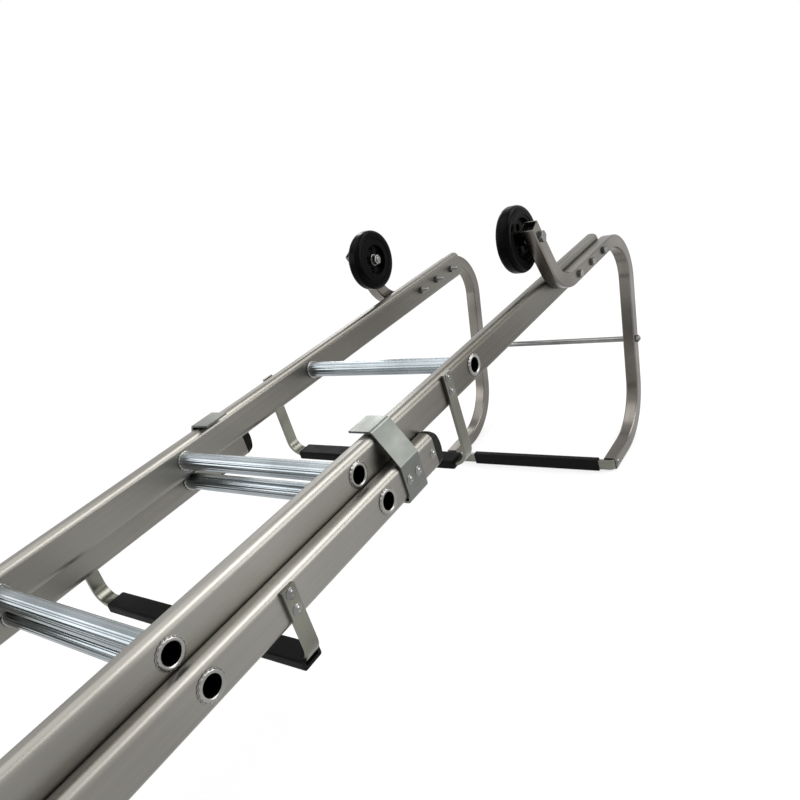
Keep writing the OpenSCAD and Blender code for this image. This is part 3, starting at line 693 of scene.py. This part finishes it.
def rung_mesh(name, half):
    """A fluted tube."""
    shape = bmesh.new()
    skin = fluted_outline(RUNG_R)
    bore = [(BORE_R * x / math.hypot(x, y), BORE_R * y / math.hypot(x, y)) for x, y in skin]
    stations = [(Vector((x, 0)), 0.0, x + half) for x in (-half, half)]
    sweep(shape, stations, (skin, bore), lambda x, y, w: (x, w, y))
    mark_bore_shade(shape)
    return meshed(shape, name, sharp=SWEPT_SHARP)


def swage_profile(inner, outer):
    """A rung's swaged end: a bead inside the rail and a rolled flare outside it."""
    profile = [(inner - BEAD_T, BORE_R), (inner - BEAD_T, RUNG_R + BEAD_LIP)]
    for k in range(BEAD_STEPS + 1):
        a = math.pi * k / BEAD_STEPS
        profile.append((inner - BEAD_T / 2 * (1 + math.cos(a)), BEAD_R - BEAD_T / 2 * (1 - math.sin(a))))
    profile += [(inner, RUNG_R), (outer, RUNG_R)]
    profile += [(outer, FLARE_R - FLARE_EASE), (outer + FLARE_EASE, FLARE_R), (outer + RIM_T, FLARE_R)]
    profile.append((outer + RIM_T + RIM_FALL, ROLL_R + ROLL_HALF + RIM_STEP))
    for k in range(ROLL_STEPS + 1):
        a = math.pi * k / ROLL_STEPS
        profile.append((outer + RIM_T + (FLARE_T - RIM_T) * math.sin(a), ROLL_R + ROLL_HALF * math.cos(a)))
    profile += [(outer - MOUTH_DEPTH, BORE_R + MOUTH_EASE), (outer - THROAT_DEPTH, BORE_R)]
    return profile


def swage_mesh(name, inner, outer):
    """Both swaged ends of a rung."""
    shape = bmesh.new()
    for way in (-1, 1):
        profile = [(way * x, r) for x, r in swage_profile(inner, outer)]
        lathe(shape, profile, FINE_STEPS, closed=True, scalloped=True)
    mark_bore_shade(shape)
    return meshed(shape, name, sharp=SWEPT_SHARP)


for section, body in SECTIONS.items():
    names = [f"{section}_rung_{i}" for i in RUNGS]
    rail_low, rail_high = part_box(f"{section}_rail_right")
    places = [(sum(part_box(n), Vector()) / 2, (0, 0, 0)) for n in names]
    copies(f"{section}_rungs", rung_mesh(f"{section}_rung", rail_low.x - BEAD_T / 2), places,
           "rung_aluminium", body, *names)
    copies(f"{section}_rung_ends", swage_mesh(f"{section}_rung_end", rail_low.x, rail_high.x), places,
           "rung_aluminium", body, finish="swaged_aluminium")


# Ridge hooks

def hook_corners():
    """The corners of a hook's centre line, from the end of the wheel arm to the tip."""
    arm_end = (ARM_CORNER_Y - ARM_LENGTH * math.cos(ARM_TURN), HOOK_RISE + ARM_LENGTH * math.sin(ARM_TURN))
    tip_z = HOOK_RISE - HOOK_DROP
    return (arm_end, (ARM_CORNER_Y, HOOK_RISE), (TOP_CORNER_Y, HOOK_RISE),
            (TOP_CORNER_Y - HOOK_DROP * math.tan(LEG_LEAN), tip_z), (TIP_Y, tip_z))


for side in SIDES:
    low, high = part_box(f"ridge_hook_{side}")
    middle = (low.x + high.x) / 2
    shape = bmesh.new()
    sweep(shape, bent_line(hook_corners(), HOOK_BENDS),
          (rounded_outline(TUBE_W, TUBE_W, TUBE_CORNER),
           rounded_outline(TUBE_BORE_W, TUBE_BORE_W, TUBE_BORE_CORNER)),
          lambda y, z, w: (middle + w, y, z))
    piece(f"ridge_hook_{side}_tube", meshed(shape, f"ridge_hook_{side}_tube", TUBE_EDGE, SWEPT_SHARP),
          "hook_aluminium", UPPER, f"ridge_hook_{side}")


# Bearers and ridge bar

def bent_bar(node, body, thickness, bend, upright):
    """A flat bar bent to a U: upright with its legs up Z, or lying with its legs along Y."""
    low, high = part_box(node)
    reach = high.x - thickness / 2
    base, tip = (low.z + thickness / 2, high.z) if upright else (low.y + thickness / 2, high.y)
    width = high.y - low.y if upright else high.z - low.z
    middle = (low.y + high.y) / 2 if upright else (low.z + high.z) / 2
    corners = ((-reach, tip), (-reach, base), (reach, base), (reach, tip))
    shape = bmesh.new()
    sweep(shape, bent_line(corners, (bend, bend)),
          (rounded_outline(width, thickness, STRAP_CORNER, STRAP_CORNER_STEPS),),
          (lambda x, z, w: (x, middle + w, z)) if upright else (lambda x, y, w: (x, y, middle + w)))
    piece(node + "_bent", meshed(shape, node + "_bent", STRAP_EDGE, SWEPT_SHARP), "strap_aluminium", body,
          node)


def bearer_sleeve(bearer, body, start=0, reach=0):
    """A sleeve on a bearer's strap.

    It may begin later at the left and reach past the strap's bend at the right.
    """
    node = bearer + "_sleeve"
    low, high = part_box(node)
    strap_low, strap_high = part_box(bearer + "_strap")
    middle = (low + high) / 2
    shape = bmesh.new()
    sweep(shape, bent_line(((low.x + start, middle.z), (high.x + reach, middle.z)), ()),
          (rounded_outline(high.y - low.y, high.z - low.z, SLEEVE_CORNER),
           rounded_outline(strap_high.y - strap_low.y, STRAP_T, STRAP_CORNER)),
          lambda x, z, w: (x, middle.y + w, z))
    piece(node + "_fitted", meshed(shape, node + "_fitted", SLEEVE_EDGE, SWEPT_SHARP), "sleeve_rubber",
          body, node)


bent_bar("upper_bearer_strap", UPPER, STRAP_T, STRAP_BEND, upright=True)
bent_bar("lower_bearer_strap", LOWER, STRAP_T, STRAP_BEND, upright=True)
bent_bar("foot_bearer_strap", LOWER, STRAP_T, STRAP_BEND, upright=True)
bent_bar("ridge_bar", UPPER, RIDGE_BAR_T, RIDGE_BEND, upright=False)
eased_copy("ridge_sleeve", "sleeve_rubber", UPPER, RIDGE_SLEEVE_EDGE)
bearer_sleeve("upper_bearer", UPPER)
bearer_sleeve("lower_bearer", LOWER, start=LATE_START, reach=PAST_BEND)
bearer_sleeve("foot_bearer", LOWER, start=LATE_START, reach=PAST_BEND)


# Wheels

def tyre_profile(radius, half):
    """A tyre's section about its own middle, with round shoulders."""
    wall = [(half - WALL_INSET, HUB_R + WALL_FOOT), (half, HUB_R + WALL_RISE)]
    for k in range(SHOULDER_STEPS + 1):
        a = math.pi / 2 * k / SHOULDER_STEPS
        wall.append((half - TYRE_SHOULDER + TYRE_SHOULDER * math.cos(a),
                     radius - TYRE_SHOULDER + TYRE_SHOULDER * math.sin(a)))
    seat = half - TYRE_SEAT_INSET
    return [(-seat, HUB_R)] + [(-x, r) for x, r in wall] + list(reversed(wall)) + [(seat, HUB_R)]


for side in SIDES:
    low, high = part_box(f"tyre_{side}")
    shape = bmesh.new()
    lathe(shape, tyre_profile((high.z - low.z) / 2, (high.x - low.x) / 2), FINE_STEPS, closed=True)
    bmesh.ops.translate(shape, vec=(low + high) / 2, verts=shape.verts)
    piece(f"tyre_{side}_moulded", meshed(shape, f"tyre_{side}_moulded", sharp=SWEPT_SHARP), "tyre_rubber",
          f"wheel_{side}", f"tyre_{side}")
    eased_copy(f"wheel_hub_{side}", "black_plastic", f"wheel_{side}", HUB_EDGE, "hub_plastic")


# Guides, catches and end caps

for side in SIDES:
    eased_copy(f"guide_bracket_{side}", "zinc_plate", LOWER, PLATE_EDGE)
    eased_copy(f"foot_guide_{side}", "zinc_plate", UPPER, PLATE_EDGE)
    eased_copy(f"rung_catch_{side}", "zinc_plate", f"catch_{side}", PLATE_EDGE)
    eased_copy(f"lower_top_cap_{side}", "black_plastic", LOWER, CAP_EDGE)
    eased_copy(f"lower_foot_cap_{side}", "black_plastic", LOWER, CAP_EDGE)
    eased_copy(f"upper_foot_cap_{side}", "black_plastic", UPPER, CAP_EDGE)


# Fasteners, along X from the seat of the head

def rivet_mesh(name, head_r, head_h, shank_r):
    """A domed rivet with a small dimple where its stem broke off."""
    shape = bmesh.new()
    ball = (head_r ** 2 + head_h ** 2) / (2 * head_h)
    profile = [(-RIVET_GRIP, 0), (-RIVET_GRIP, shank_r), (0, shank_r), (0, head_r)]
    profile.append((HEAD_WALL_SHARE * head_h, head_r))
    for k in range(1, HEAD_STEPS):
        r = head_r * (1 - k / HEAD_STEPS * HEAD_CROWN_SHARE)
        profile.append((head_h - ball + math.sqrt(ball ** 2 - r ** 2), r))
    for height, radius in (DIMPLE_RIM_SHARES, DIMPLE_WALL_SHARES):
        profile.append((head_h * height, head_r * radius))
    profile.append((head_h * DIMPLE_WALL_SHARES[0], 0))
    lathe(shape, profile, COARSE_STEPS)
    return meshed(shape, name, sharp=SWEPT_SHARP)


def bolt_mesh(name, flats, head_h, radius, length, threaded):
    """A hexagon bolt with a washer face, a plain shank and a threaded end."""
    shape = bmesh.new()
    face_r = flats * HEAD_FACE_SHARE
    hexagon(shape, HEAD_LIFT, head_h, flats, HEAD_EASE)
    lathe(shape, [(0, 0), (0, face_r), (HEAD_FACE_T, face_r), (HEAD_FACE_T, 0)], COARSE_STEPS)
    lathe(shape, [(SHANK_LAP, 0), (SHANK_LAP, radius), (threaded - length, radius)]
          + thread(threaded - length, -length, radius), COARSE_STEPS)
    return meshed(shape, name, HEX_EDGE, TURNED_SHARP)


def nut_mesh(name, flats, height, radius):
    """A hexagon nut with a bore, its outer face at 0 and its body behind it."""
    shape = bmesh.new()
    back_share, front_share = NUT_FACE_SHARES
    hexagon(shape, -height, -NUT_SET_BACK, flats, NUT_EASE)
    lathe(shape, [(-NUT_FACE_T, radius + NUT_BORE_GAP), (-NUT_FACE_T, flats * back_share),
                  (0, flats * front_share), (0, radius + NUT_MOUTH_GAP)], COARSE_STEPS, closed=True)
    return meshed(shape, name, HEX_EDGE, TURNED_SHARP)


def washer_mesh(name):
    """A washer with eased edges, its outer face at 0."""
    shape = bmesh.new()
    bore = AXLE_R + WASHER_GAP
    rim = WASHER_R - WASHER_EASE
    lathe(shape, [(-WASHER_T, bore), (-WASHER_T, rim), (-WASHER_T + WASHER_EASE, WASHER_R),
                  (-WASHER_EASE, WASHER_R), (0, rim), (0, bore)], MIDDLE_STEPS, closed=True)
    return meshed(shape, name)


def tie_rod_mesh(name, node, shoulder):
    """A rod with shoulders at the hooks' inner faces and threaded ends."""
    low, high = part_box(node)
    shape = bmesh.new()
    radius = (high.z - low.z) / 2
    half = [(shoulder - ROD_EASE, radius), (shoulder - ROD_GAP, radius - ROD_STEP)]
    half += thread(shoulder, high.x, HOOK_BOLT_R)
    lathe(shape, [(-x, r) for x, r in reversed(half)] + half, COARSE_STEPS)
    bmesh.ops.translate(shape, vec=(low + high) / 2, verts=shape.verts)
    return meshed(shape, name, sharp=TURNED_SHARP)


def steel_copies(name, mesh, node, depth, body=UPPER, inward=False):
    """Copies of a fastener at the places of a node's solids."""
    copies(name, mesh, seats(node, depth, inward), "bright_steel", body, node)


rivet = rivet_mesh("rivet", RIVET_HEAD_R, RIVET_HEAD_H, RIVET_SHANK_R)
steel_copies("upper_rivets", rivet.copy(), "upper_section_rivets", RIVET_HEAD_H)
steel_copies("lower_rivets", rivet.copy(), "lower_section_rivets", RIVET_HEAD_H, LOWER)
steel_copies("ridge_rivets", rivet.copy(), "ridge_bar_rivets", RIVET_HEAD_H)
pivot = rivet_mesh("pivot", PIVOT_HEAD_R, RIVET_HEAD_H, PIVOT_R)
steel_copies("catch_pins", pivot, "catch_pivots", RIVET_HEAD_H, inward=True)

hook_bolt = bolt_mesh("hook_bolt", HOOK_BOLT_FLATS, HOOK_BOLT_HEAD, HOOK_BOLT_R,
                      length_of("hook_bolts") - HOOK_BOLT_HEAD, HOOK_THREAD)
steel_copies("hook_bolt_set", hook_bolt, "hook_bolts", HOOK_BOLT_HEAD)
hook_nut = nut_mesh("hook_nut", HOOK_BOLT_FLATS, length_of("hook_nuts"), HOOK_BOLT_R)
steel_copies("hook_nut_set", hook_nut, "hook_nuts", 0, inward=True)
axle_bolt = bolt_mesh("axle_bolt", AXLE_FLATS, AXLE_HEAD, AXLE_R,
                      length_of("wheel_axle_bolts") - AXLE_HEAD, AXLE_THREAD)
steel_copies("axle_bolt_set", axle_bolt, "wheel_axle_bolts", AXLE_HEAD)
axle_nut = nut_mesh("axle_nut", AXLE_FLATS, length_of("wheel_axle_nuts"), AXLE_R)
steel_copies("axle_nut_set", axle_nut, "wheel_axle_nuts", 0, inward=True)
tie_nut = nut_mesh("tie_nut", HOOK_BOLT_FLATS, length_of("tie_rod_nuts"), HOOK_BOLT_R)
steel_copies("tie_nut_set", tie_nut, "tie_rod_nuts", 0)
steel_copies("washer_set", washer_mesh("washer"), "wheel_washers", 0)
tie_rod = tie_rod_mesh("tie_rod", "hook_tie_rod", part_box("ridge_hook_right")[0].x)
piece("tie_rod", tie_rod, "bright_steel", UPPER, "hook_tie_rod")


# Floor and room. Seen directly, the floor turns white away from the ladder and keeps its shadow

FLOOR_REACH = 40.0
FLOOR_GAP = 0.5 * MM
FLOOR_TONE = (0.9, 0.9, 0.9, 1)
FLOOR_ROUGHNESS = 0.9
FLOOR_LIFT = 0.74
LIFT_SPAN = (1.2, 4.0)
ROOM_LIGHT = 0.55
WHITE = (1, 1, 1, 1)


def seen_directly(tree):
    """1 for rays from the camera, and for those that metal or glass sends on, otherwise 0."""
    path = add(tree, "ShaderNodeLightPath").outputs
    first = calculated(tree, "MAXIMUM", path["Is Camera Ray"], path["Is Glossy Ray"])
    return calculated(tree, "MAXIMUM", first, path["Is Transmission Ray"])


floor_mesh = bpy.data.meshes.new("floor")
floor_z = cad_low.z - FLOOR_GAP
floor_mesh.from_pydata([(x * FLOOR_REACH, y * FLOOR_REACH, floor_z)
                        for x, y in ((-1, -1), (1, -1), (1, 1), (-1, 1))], [], [(0, 1, 2, 3)])
floor = bpy.data.objects.new("floor", floor_mesh)
bpy.context.scene.collection.objects.link(floor)

floor_finish, floor_tree, floor_shader, floor_coords = new_finish("pale_floor")
floor_shader.inputs["Base Color"].default_value = FLOOR_TONE
floor_shader.inputs["Roughness"].default_value = FLOOR_ROUGHNESS
white = add(floor_tree, "ShaderNodeEmission", {"Color": WHITE, "Strength": 1.0})
away = add(floor_tree, "ShaderNodeVectorMath", {0: floor_coords["Object"]},
           operation="LENGTH").outputs["Value"]
lift = calculated(floor_tree, "MULTIPLY", seen_directly(floor_tree),
                  ranged(floor_tree, away, LIFT_SPAN, FLOOR_LIFT, 1.0))
lifted = add(floor_tree, "ShaderNodeMixShader", {0: lift, 1: floor_shader.outputs[0], 2: white.outputs[0]})
leave = next(n for n in floor_tree.nodes if n.type == "OUTPUT_MATERIAL")
floor_tree.links.new(lifted.outputs[0], leave.inputs["Surface"])
floor_mesh.materials.append(floor_finish)

world = bpy.data.worlds.new("soft_room")
bpy.context.scene.world = world
world.use_nodes = True
room = world.node_tree
sky = next(n for n in room.nodes if n.type == "BACKGROUND")
room.links.new(ranged(room, seen_directly(room), (0, 1), ROOM_LIGHT, 1.0), sky.inputs["Strength"])
sky.inputs["Color"].default_value = WHITE


# Lamps and camera

def softbox(name, place, target, size, power):
    """A large soft lamp that faces a target."""
    lamp = bpy.data.lights.new(name, "AREA")
    lamp.shape = "RECTANGLE"
    lamp.size, lamp.size_y = size
    lamp.energy = power
    holder = bpy.data.objects.new(name, lamp)
    holder.location = place
    holder.rotation_euler = (Vector(target) - Vector(place)).to_track_quat("-Z", "Y").to_euler()
    holder.visible_camera = False
    bpy.context.scene.collection.objects.link(holder)


softbox("overhead", place=(-0.6, -0.6, 3.2), target=(0, -0.6, 0), size=(3.0, 4.0), power=55)
softbox("side", place=(-3.0, -2.4, 1.8), target=(0, -0.3, 0), size=(2.0, 2.0), power=30)
softbox("back_left", place=(-2.4, 2.6, 1.5), target=(0, 0, 0), size=(2.2, 1.6), power=12)
softbox("back_strip", place=(-2.3, 2.5, 1.45), target=(0, 0, 0), size=(0.35, 1.0), power=9)
softbox("long_right", place=(1.75, 1.5, 2.5), target=(0, 0, 0), size=(3.4, 1.6), power=85)
softbox("low_right", place=(2.5, 1.5, 0.35), target=(0, -0.3, 0), size=(1.6, 1.2), power=26)

# The camera fitted to the photo: its place, and its right, up and back directions as rows
FOCAL_PX = 748.24
FRAME_PX = 800
SENSOR = 36.0
CLIP_NEAR = 0.01
CLIP_FAR = 200
CAMERA_AT = Vector((748.8, -861.2, 402.3)) * MM
CAMERA_ROWS = ((0.80087, 0.52925, -0.28017), (-0.00263, 0.47096, 0.88215), (0.59883, -0.70575, 0.37857))
lens = bpy.data.cameras.new("camera")
lens.sensor_width = SENSOR
lens.lens = FOCAL_PX * SENSOR / FRAME_PX
lens.clip_start = CLIP_NEAR
lens.clip_end = CLIP_FAR
camera = bpy.data.objects.new("camera", lens)
camera.matrix_world = Matrix.Translation(CAMERA_AT) @ Matrix(CAMERA_ROWS).transposed().to_4x4()
bpy.context.scene.collection.objects.link(camera)
bpy.context.scene.camera = camera
bpy.context.scene.view_settings.view_transform = "Standard"
